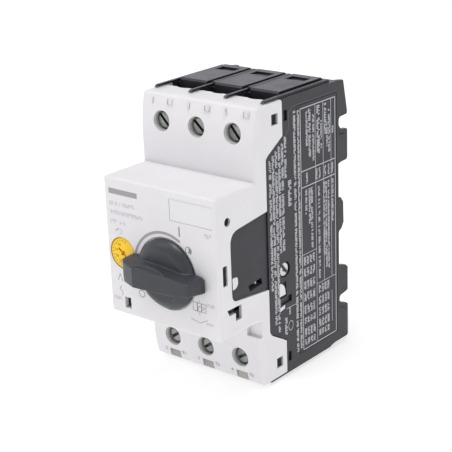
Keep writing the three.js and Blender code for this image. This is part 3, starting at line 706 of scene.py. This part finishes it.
def build_dial():
    """The yellow dial on its hub, with a crossed arrow sunk in its face and its floor painted darker orange as
    shade, a scale of ticks and four figures.
    """
    x, z, r, face = DIAL_X, DIAL_Z, DIAL_RADIUS, DIAL_FACE
    bm = bmesh.new()
    profile = [
        (0, face), (r - 0.6, face), (r - 0.3, 0.17), (r - 0.1, 0.3), (r, 0.5), (r, 2.6),
        (DIAL_HUB, 2.6), (DIAL_HUB, DIAL_REAR), (0, DIAL_REAR),
    ]
    lathe(bm, profile, x, z, 72)
    dial = piece("dial", bm, YELLOW, "dial")
    arrow = [
        (2.6, 0), (1.7, 0.95), (1.7, 0.36), (0.45, 0.36), (0.45, 1.0), (-0.45, 1.0), (-0.45, 0.36),
        (-2.3, 0.36), (-2.3, -0.36), (-0.45, -0.36), (-0.45, -1.0), (0.45, -1.0), (0.45, -0.36),
        (1.7, -0.36), (1.7, -0.95),
    ]
    turn = Matrix.Rotation(math.radians(DIAL_TURN), 2)
    shape = [turn @ Vector(p) + Vector((x, z)) for p in arrow]
    tools = bmesh.new()
    plate_prism(tools, shape, -1, 0.7)
    cut_out(dial, tools)
    finish_edges(dial, 0.08, 2)
    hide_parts("setting_dial")

    # Painted shade: the floor of the sunk arrow is coloured darker orange, as the yellow looks in shade.
    bm = bmesh.new()
    plate_prism(bm, shape, 0.66, 0.74)
    piece("dial_arrow_shade", bm, ARROW_SHADE, "dial")
    bm = bmesh.new()
    for step in range(TICKS):
        a = math.radians(FIRST_TICK + step * TICK_STEP)
        inner = 3.95 if step % 4 else 3.6
        ends = [Vector((math.cos(a), math.sin(a))) * k + Vector((x, z)) for k in (inner, 4.4)]
        stroke(bm, *ends, 0.2, face - PRINT, face + SINK)
    piece("dial_ticks", bm, TICK_INK, "dial")
    for number, angle in FIGURES.items():
        a = math.radians(angle)
        spot = (x + FIGURE_RADIUS * math.cos(a), face, z + FIGURE_RADIUS * math.sin(a))
        lettering(f"dial_number_{number}", number, spot, 1.25, TICK_INK, "dial")


def screw_place(n):
    """The x and z of a screw's axis, and the depths of its two ends."""
    low, high = device_box(f"terminal_screw_{n}")
    return (low.x + high.x) / 2, (low.z + high.z) / 2, low.y, high.y


def screw_profile(front, rear):
    """(radius, y) along a screw: a rounded head, a neck, a core with rings for a thread, and a tip."""
    profile = [
        (0, front + 0.05), (2.1, front + 0.05), (2.6, front + 0.16), (2.84, front + 0.38),
        (HEAD_RADIUS, front + 0.7), (HEAD_RADIUS, front + 2.3),
        (NECK_RADIUS, front + 2.4), (NECK_RADIUS, 27.2), (CORE_RADIUS, 27.3),
    ]
    length = rear - 0.9 - THREAD_START
    for i in range(THREAD_STEPS):
        radius = CORE_RADIUS if i % 2 == 0 else THREAD_RADIUS
        profile.append((radius, THREAD_START + length * i / (THREAD_STEPS - 1)))
    return profile + [(1.2, rear - 0.4), (0, rear - 0.1)]


def build_screws():
    """A slotted screw with a thread for each terminal, each left at its own turn."""
    for n, turned in enumerate(SCREW_TURNS, 1):
        x, z, front, rear = screw_place(n)
        bm = bmesh.new()
        lathe(bm, screw_profile(front, rear), x, z, 40)
        screw = piece(f"screw_{n}", bm, SCREW_STEEL, f"screw_{n}")
        tools = bmesh.new()
        past = HEAD_RADIUS + 0.3
        slot = slab(tools, (-past, past), (front - 1, front + SLOT_DEPTH), (-SLOT_HALF, SLOT_HALF))
        place = Matrix.Translation((x, 0, z)) @ Matrix.Rotation(math.radians(-turned), 4, "Y")
        bmesh.ops.transform(tools, matrix=place, verts=slot)
        cut_out(screw, tools)
        finish_edges(screw, 0.07, 2)
        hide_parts(f"terminal_screw_{n}")


# ---------------------------------------------------------------- print on the front


def front_strokes(name, lines, width, shader):
    """Lines on the front plate, each a pair of (x, z) points: print, and the pointer's painted shadow."""
    bm = bmesh.new()
    for a, b in lines:
        stroke(bm, a, b, width, *FRONT_FILM)
    return piece(name, bm, shader, "housing")


def path(points, closed=False):
    """The pairs of neighbouring points along a line."""
    return list(zip(points, points[1:] + points[:1] if closed else points[1:]))


def marks(bm, rng, face, level, start, end, size, gap=0.14):
    """A line of small print that says nothing: pairs of short blocks, with gaps between the words.

    On the front it runs along x at the height level; on the side it runs along z at the depth level.
    """
    pair, space, second, thick = 0.66, 0.8, 0.52, 0.3
    forward = 1 if end > start else -1
    place, step = start, size * pair
    while (end - place) * forward > step:
        if rng.random() < gap:
            place += forward * step * space
            continue
        for k in (0.0, second):
            low = rng.choice((0, 0, 0, 0.45))
            high = rng.choice((0.58, 1, 1, 1)) if low == 0 else 1
            a, b = place + forward * step * k, place + forward * step * (k + thick)
            across = (level + low * size, level + high * size)
            if face == "front":
                slab(bm, (min(a, b), max(a, b)), FRONT_FILM, across)
            else:
                across = (level - high * size, level - low * size)
                slab(bm, SIDE_FILM, across, (min(a, b), max(a, b)))
        place += forward * step


def front_print():
    """The arc and signs around the handle, the small print, the symbols and the terminal marks."""
    bm = bmesh.new()
    arc_band(bm, KNOB.x - 0.5, KNOB.z + 0.2, 12.35, 13.2, 60.8, 163, *FRONT_FILM, 64)
    piece("print_arc", bm, GREY_INK, "housing")

    # the signs for on, off and tripped: a bar, a ring, and a ring round a part of a disc
    bm = bmesh.new()
    stroke(bm, (7.9, 53.4), (7.9, 56.6), 0.42, *FRONT_FILM)
    piece("print_on", bm, DARK_INK_AND_SHADOW, "housing")
    bm = bmesh.new()
    arc_band(bm, -8.84, 31.3, 1.0, 1.3, 0, 359.9, *FRONT_FILM)
    piece("print_off", bm, GREY_INK, "housing")
    bm = bmesh.new()
    arc_band(bm, 11.2, 49.7, 1.05, 1.28, -60, 235, *FRONT_FILM)
    arc_band(bm, 11.4, 49.7, 0.05, 0.78, -120, 110, *FRONT_FILM)
    piece("print_tripped", bm, DARK_INK_AND_SHADOW, "housing")

    bm = bmesh.new()
    slab(bm, (-20.4, -8.6), FRONT_FILM, (62.2, 63.9))
    piece("print_band", bm, GREY_INK, "housing")

    rng = random.Random(7)
    bm = bmesh.new()
    left = -20.4
    for z, right in ((58.5, -9.6), (55.6, -6.4), (52.6, -13.6)):
        marks(bm, rng, "front", z, left, right, 1.3)
    piece("print_lines", bm, FAINT_INK, "housing")
    bm = bmesh.new()
    marks(bm, rng, "front", 55.0, 17.7, 20.6, 1.4)
    marks(bm, rng, "front", 33.1, 17.4, 20.7, 1.2)
    marks(bm, rng, "front", 27.2, 17.2, 20.6, 0.8)
    marks(bm, rng, "front", 26.9, -20.9, -16.8, 1.3)
    piece("print_notes", bm, FAINT_INK, "housing")
    symbols()
    terminal_marks()


def symbols():
    """A trip block with three cells on the line of a breaker contact, and the test symbol."""
    low, high, cell = 31.0, 33.7, 1.65
    starts = [12.1 + cell * k for k in range(len(POLES))]
    cells = [path([(x, low), (x + cell, low), (x + cell, high), (x, high)], True) for x in starts]
    lines = sum(cells, []) + [((14.6, low), (14.6, low - 1.2)), ((14.6, high), (14.6, high + 0.9))]
    lines += path([(15.8, 31.7), (16.6, 32.3), (15.8, 32.9)])
    lines += path([(14.2, 31.7), (14.2, 32.6), (15.0, 32.6)])
    lines += path([(11.0, 28.0), (12.6, 27.7), (14.5, 27.3), (17.7, 28.8)])
    front_strokes("print_symbols", lines, 0.18, GREY_INK)

    # the test symbol: an arrow over a bent line
    lines = path([(-18.8, 33.6), (-17.8, 36), (-16.8, 33.6)])
    lines += path([(-17.5, 32), (-18.3, 30.9), (-17.1, 30.1), (-17.3, 28.7)])
    front_strokes("print_test", lines, 0.24, GREY_INK)


def terminal_marks():
    """Terminal numbers, moulded on above the upper holes and beside the lower slots."""
    lean = math.radians(11)
    upper_size, lower_size = 2.9, 1.6
    for n, x in enumerate(POLES):
        for side, shift, mark in ((0, 0.5 * n - 3.9, str(2 * n + 1)), (2, 0.8 * n + 3.2, f"L{n + 1}")):
            spot = (x + shift, 19.4, 87.5)
            name = f"mark_line_{n}{side}"
            lettering(name, mark, spot, upper_size, WHITE, "housing", lean, 0.09)
        for side, shift, mark in ((0, -3.9, str(2 * n + 2)), (2, 3.9, f"T{n + 1}")):
            spot = (x + shift, 19.34, 2.9)
            name = f"mark_load_{n}{side}"
            lettering(name, mark, spot, lower_size, WHITE, "housing", -lean, 0.08)


# ---------------------------------------------------------------- print and patches on the side


def side_line(bm, y0, z0, y1, z1, width):
    """A printed line on the side, along y or along z. It is half its width longer at each end."""
    half = width / 2
    slab(bm, SIDE_FILM, (y0 - half, y1 + half), (z0 - half, z1 + half))


def side_stroke(bm, a, b, width):
    """A printed line on the side from a to b, both (y, z)."""
    a, b = Vector(a), Vector(b)
    across = Vector((a.y - b.y, b.x - a.x)).normalized() * (width / 2)
    side_prism(bm, [a + across, a - across, b - across, b + across], *SIDE_FILM)


def side_print():
    """The print on the black side: rows on the bare wall, then the label with its lines, rows and figures."""
    rng = random.Random(11)
    bm = bmesh.new()
    # the wall: six lines start along the slanted seam, and the three nearest the seam run on below
    for k, end in enumerate((30, 18.4, 14.8, 41.5, 41.5, 64)):
        y = 26.4 + k * 1.55
        marks(bm, rng, "side", y, 72.6 + k * 1.15, end, 1.15, 0.1)
    marks(bm, rng, "side", 33.0, 19.8, 13.0, 1.3, 0.05)
    marks(bm, rng, "side", 34.9, 22.0, 18.6, 0.9, 0.1)
    piece("side_print_wall", bm, WHITE_INK, "housing")

    bm = bmesh.new()
    marks(bm, rng, "side", 36.3, 64, 55, 1.6, 0.0)
    marks(bm, rng, "side", 39.0, 85.2, 4.6, 1.15, 0.05)
    piece("side_print_bold", bm, WHITE_INK, "housing")
    label_lines()
    label_print(rng)
    label_figures(rng)


def label_lines():
    """The lines of the label's blank tables."""
    bm = bmesh.new()
    left, right, low, high = 41.5, 60.1, 4.5, 85.1
    rows, columns = (65, 59.7), (49.3, 53.5, 57.8)
    wide_top, short_top = 37.3, 25
    thick, thin = 0.26, 0.16
    for z in (low, high) + rows:
        side_line(bm, left, z, right, z, thick)
    for y in (left, right):
        side_line(bm, y, low, y, high, thick)
    for y in columns:
        side_line(bm, y, low if y == columns[0] else short_top, y, high, thin)
    side_line(bm, left, wide_top, columns[0], wide_top, thin)
    side_line(bm, columns[0], short_top, right, short_top, thin)
    side_line(bm, columns[2], 9, columns[2], 20, thin)
    piece("label_lines", bm, WHITE_INK, "housing")


def label_print(rng):
    """The label's rows of small print: depth, start and end height, and the size of the blocks."""
    bm = bmesh.new()
    marks(bm, rng, "side", 40.9, 85, 4.8, 1.05, 0.05)
    headings = (
        (45.3, 83.8, 72, 1.0), (46.9, 84.2, 68.3, 1.2), (48.8, 82, 67, 1.0), (51.7, 84.3, 68.3, 1.6),
        (52.9, 80, 70, 0.8), (55.3, 84.2, 73.4, 1.2), (56.0, 78, 69.6, 0.7), (57.3, 82.4, 67.8, 1.0),
        (59.2, 76, 73.5, 0.9),
    )
    rows = (
        (44.6, 58.6, 50, 1.0), (46.4, 58.6, 46, 1.0), (47.6, 58.6, 38, 1.0), (51.5, 58, 26, 1.0),
        (54.3, 58.6, 33, 1.0), (55.4, 58.6, 29, 0.9), (56.7, 58.6, 27, 0.9), (59.0, 58.6, 44, 0.9),
    )
    for y, start, end, size in headings:
        marks(bm, rng, "side", y, start, end, size)
    for y in (45.1, 50.3, 51.9, 54.9, 56.9, 58.9):
        marks(bm, rng, "side", y, 64, 60.4, 0.9, 0.05)
    for y, start, end, size in rows:
        marks(bm, rng, "side", y, start, end, size)
    piece("label_print", bm, WHITE_INK, "housing")


def label_figures(rng):
    """The tables' short figures: each column's depth, and each figure's upper and lower end."""
    wide_table = (
        (36.4, 33.2), (32.4, 29.2), (28.0, 24.8), (24.0, 20.8),
        (19.6, 16.4), (15.4, 12.6), (11.6, 8.6), (7.8, 5.4),
    )
    short_table = ((24.2, 21.2), (20.2, 17.2), (16.2, 13.2), (12.2, 9.2), (8.4, 6.2))
    bm = bmesh.new()
    for columns, figures in (((43.4, 45.0, 46.6, 48.2), wide_table), ((51.4, 53.0, 54.6, 56.2), short_table)):
        for y in columns:
            for top, bottom in figures:
                marks(bm, rng, "side", y, top, bottom, 1.1, 0)
    piece("label_figures", bm, WHITE_INK, "housing")


def side_patch(name, outline, x0, x1, width, segments):
    """A white moulding behind an opening of the side wall, its outline given in (y, z)."""
    bm = bmesh.new()
    side_prism(bm, outline, x0, x1)
    patch = piece(name, bm, WHITE, "housing")
    finish_edges(patch, width, segments)


def side_patches():
    """White mouldings behind the openings of the side walls, and the fine lines on the black wall."""
    window = [
        (6.9, 37.1), (6.8, 40.4), (7.1, 41), (9, 40.8),
        (9.4, 40.3), (9.5, 38.7), (9, 37.7), (8.2, 37.2),
    ]
    side_patch("patch_window", window, SIDE - 1.4, SIDE - 0.46, 0.12, 3)
    half_round = [(29.3, 27.1), (29.3, 31.3), (30, 31.5)]
    half_round += [(29.6 + 2.9 * math.cos(a), 28 + 3.5 * math.sin(a)) for a in (1.2, 0.95, 0.7, 0.45, 0.2)]
    half_round += [(32.6, 27.1)]
    side_patch("patch_half_round", half_round, FLUSH - 0.5, FLUSH, 0.12, 3)
    slant = [(29.4, 21.95), (32.2, 22.5), (32.2, 23.8), (29.4, 23.35)]
    side_patch("patch_slant", slant, FLUSH - 0.6, FLUSH, 0.1, 2)
    bm = bmesh.new()
    side_prism(bm, [(18.4, 35.2), (18.9, 35.2), (18.9, 36.4), (18.4, 36.3)], SIDE - 2.2, SIDE - 1.2)
    piece("patch_tip", bm, SLEEVE, "housing")

    bm = bmesh.new()
    slab(bm, SIDE_FILM, (32.6, 37.6), (22.05, 22.2))
    arc = [math.radians(a * 15) for a in range(25)]
    for a, b in zip(arc, arc[1:]):
        corners = ((1.5, a), (1.7, a), (1.7, b), (1.5, b))
        ring = [(34.8 + r * 0.75 * math.cos(t), 15.7 + r * math.sin(t)) for r, t in corners]
        side_prism(bm, ring, *SIDE_FILM)
    piece("side_print_lines", bm, WHITE_INK, "housing")
    bm = bmesh.new()
    for a, b in path([(33.8, 78.5), (35.6, 80.5), (35.6, 85.4), (37.6, 86.8), (60.9, 86.8)]):
        side_stroke(bm, a, b, 0.16)
    piece("side_seam", bm, SEAM_INK, "housing")


def label_window():
    """The plate of the name field, widened until it nearly fills its recess."""
    low, high = device_box("label_plate")
    edge = 0.24
    bm = bmesh.new()
    slab(bm, (low.x - edge, high.x + edge), (low.y, high.y), (low.z - edge, high.z + edge))
    cap = piece("name_field", bm, LABEL_WHITE, "housing")
    finish_edges(cap, 0.1, 3)
    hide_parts("label_plate")


def screw_sleeves():
    """Grey guide sleeves in the six screw holes, around the screw heads."""
    for n in range(1, len(SCREW_TURNS) + 1):
        x, z, _, _ = screw_place(n)
        bm = bmesh.new()
        rings = [(3.05, 19.5), (3.22, 19.35), (3.27, 19.5), (3.27, 22.4), (3.02, 22.4)]
        lathe(bm, rings + rings[:1], x, z, 48)
        bmesh.ops.remove_doubles(bm, verts=bm.verts[:], dist=0.001)
        piece(f"sleeve_{n}", bm, SLEEVE, "housing")


def pointer():
    """The small raised pointer above the dial, with a dark line painted along its upper left edge as its
    shadow.
    """
    tip = [(-18.4, 49.7), (-16.4, 51.1), (-15.6, 50.4), (-16.9, 49.2)]
    bm = bmesh.new()
    plate_prism(bm, tip, -0.22, 0.05)
    finish_edges(piece("pointer", bm, WHITE, "housing"), 0.1, 2)
    # Painted shadow: a dark line along the pointer's upper left edge.
    front_strokes("pointer_shadow", path([(-18.3, 50.3), (-17.2, 51.1)]), 0.24, DARK_INK_AND_SHADOW)


def window_inserts():
    """What shows inside the openings: hooks and fills darker than the housing that paint the shade inside, the
    grey ends of slots, and painted shade at a hole's end and in the shaft's slotted end.
    """
    snap_low, snap_high = 83.2, 86.4
    snap_x = (SIDE - 1.5, SIDE - 0.55)
    bm = bmesh.new()
    # The hooks behind the snap windows, darker than the housing to paint the shade around them.
    for side in (-1, 1):
        across = tuple(sorted(side * x for x in snap_x))
        for low, high in ((snap_low, snap_high), (HEIGHT - snap_high, HEIGHT - snap_low)):
            slab(bm, across, (27.1, 29.8), (low - SINK, high + SINK))
    # Dark fills in the slot on the nose's side and in other side openings, painted as the shade inside them.
    slab(bm, (SIDE - 1.6, SIDE - 0.5), (2.1, 4.0), (39.9, 46.1))
    slab(bm, (SIDE - 2, SIDE - 0.9), (3.6, 10), (29.9, 31.7))
    slab(bm, (SIDE - 2, SIDE - 0.9), (7.4, 10), (27.3, 31.7))
    slab(bm, (BASE_SIDE - 0.75, BASE_SIDE - 0.25), (29.25, 32.75), (26.6, 31.5))
    shade_inserts = piece("window_inserts", bm, SHADE_FILL_PLASTIC, "housing")
    finish_edges(shade_inserts, 0.12, 2)
    slot_backs()
    hole_shade_plug()
    drive_slot_shade()


def slot_backs():
    """Grey backs of the three slots under the lower screws."""
    half = 2.25
    bm = bmesh.new()
    for x in POLES:
        slab(bm, (x - half, x + half), (20.1, 21), (0.65, 3.35))
    finish_edges(piece("slot_backs", bm, SLOT_PLASTIC, "housing"), 0.1, 2)


def hole_shade_plug():
    """A dark plug deep in the blind hole in the cover's side, painted as the shade there, turned so that its
    axis runs along x.
    """
    outer, inner, radius = SIDE - 0.7, SIDE - 2, 1.3
    y, z = 4.85, 59.4
    bm = bmesh.new()
    lathe(bm, [(0, outer), (radius, outer), (radius, inner), (0, inner)], 0, 0, 32)
    along_x = Matrix(((0, 1, 0, 0), (1, 0, 0, y), (0, 0, 1, z), (0, 0, 0, 1)))
    bmesh.ops.transform(bm, matrix=along_x, verts=bm.verts[:])
    piece("hole_shade_plug", bm, SHADE_FILL_PLASTIC, "housing")


def drive_slot_shade():
    """A black strip set into the end of the inner switch shaft, painting the shade in its slot."""
    end = device_box("drive_shaft")[1].x
    axis = (0, 32.3, 35.6)
    bm = bmesh.new()
    slot = slab(bm, (end - 0.3, end + SINK), (-0.3, 0.75), (-1.9, 1.9))
    hub = Matrix.Translation(axis) @ Matrix.Rotation(math.radians(40), 4, "X")
    bmesh.ops.transform(bm, matrix=hub, verts=slot)
    piece("drive_slot_shade", bm, BLACK, "drive")


# ---------------------------------------------------------------- floor, lights, camera


# Lamps: place and disc size in metres, and power in watts
LAMPS = {
    "key": ((-0.55, -0.5, 0.7), 0.45, 1.3),
    "side": ((0.95, -0.15, 0.6), 0.6, 0.8),
    "top": ((0.0, -0.15, 1.1), 0.45, 4.7),
}
LAMP_TARGET = (0, 0, 0.045)
FLOOR_GLOW = 0.62
SKY_STRENGTH = 0.54

# Camera: place in metres, azimuth, elevation and roll in degrees, focal length and sensor in millimetres
CAMERA_PLACE = (0.24335, -0.28960, 0.18231)
CAMERA_ANGLES = (39.92, 19.57, 2.17)
FOCAL_LENGTH = 100.27
SENSOR_WIDTH = 36


def area_light(name, place, size, power):
    """A white disc lamp, turned to the middle of the object."""
    data = bpy.data.lights.new(name, "AREA")
    data.shape = "DISK"
    data.size = size
    data.energy = power
    o = add_object(name, data)
    o.location = place
    o.rotation_euler = (Vector(LAMP_TARGET) - Vector(place)).to_track_quat("-Z", "Y").to_euler()


def floor_dish(flat, radius, rim, sides=96, steps=12):
    """A round floor, in metres: flat in the middle, then curved up to an upright rim."""
    profile = [(flat, 0)]
    for i in range(1, steps + 1):
        a = math.pi / 2 * i / steps
        profile.append((flat + radius * math.sin(a), radius * (1 - math.cos(a))))
    profile.append((flat + radius, radius + rim))
    turns = [2 * math.pi * i / sides for i in range(sides)]
    bm = bmesh.new()
    rings = [[bm.verts.new((r * math.cos(a), r * math.sin(a), z)) for a in turns] for r, z in profile]
    bm.faces.new(rings[0])
    for a, b in zip(rings, rings[1:]):
        for i in range(sides):
            j = (i + 1) % sides
            bm.faces.new((a[i], a[j], b[j], b[i]))
    mesh = mesh_from("floor", bm)
    shade_smooth(mesh)
    return mesh


def build_stage():
    """A pale paper floor, a white world, and soft lamps in front, at the side and above."""
    floor = add_object("floor", floor_dish(flat=2.4, radius=0.6, rim=0.2))
    s = Shader("floor_paper")
    s.set(Base_Color=s.mix(s.noise(300, 2), tone(186, 186, 187), tone(194, 194, 194)))
    s.surface.inputs["Roughness"].default_value = 0.9
    s.surface.inputs["Specular IOR Level"].default_value = 0.1
    s.surface.inputs["Emission Color"].default_value = (1, 1, 1, 1)
    s.surface.inputs["Emission Strength"].default_value = FLOOR_GLOW
    paint(floor, s)

    world = bpy.data.worlds.new("studio")
    world.use_nodes = True
    sky = world.node_tree.nodes["Background"]
    sky.inputs["Color"].default_value = (1, 1, 1, 1)
    sky.inputs["Strength"].default_value = SKY_STRENGTH
    bpy.context.scene.world = world
    for name, (place, size, power) in LAMPS.items():
        area_light(name, place, size, power)
    bpy.context.scene.view_settings.view_transform = "Standard"


def build_camera():
    """The view of the object from its front right, a little above."""
    azimuth, elevation, roll = (math.radians(a) for a in CAMERA_ANGLES)
    data = bpy.data.cameras.new("camera")
    data.lens, data.sensor_width = FOCAL_LENGTH, SENSOR_WIDTH
    data.clip_start, data.clip_end = 0.01, 50
    o = add_object("camera", data)
    o.location = CAMERA_PLACE
    turn = Matrix.Rotation(azimuth, 4, "Z") @ Matrix.Rotation(math.pi / 2 - elevation, 4, "X")
    o.rotation_euler = (turn @ Matrix.Rotation(-roll, 4, "Z")).to_euler()
    bpy.context.scene.camera = o


dress_frame()
build_knob()
build_dial()
build_screws()
front_print()
side_print()
side_patches()
window_inserts()
label_window()
screw_sleeves()
pointer()
build_stage()
build_camera()
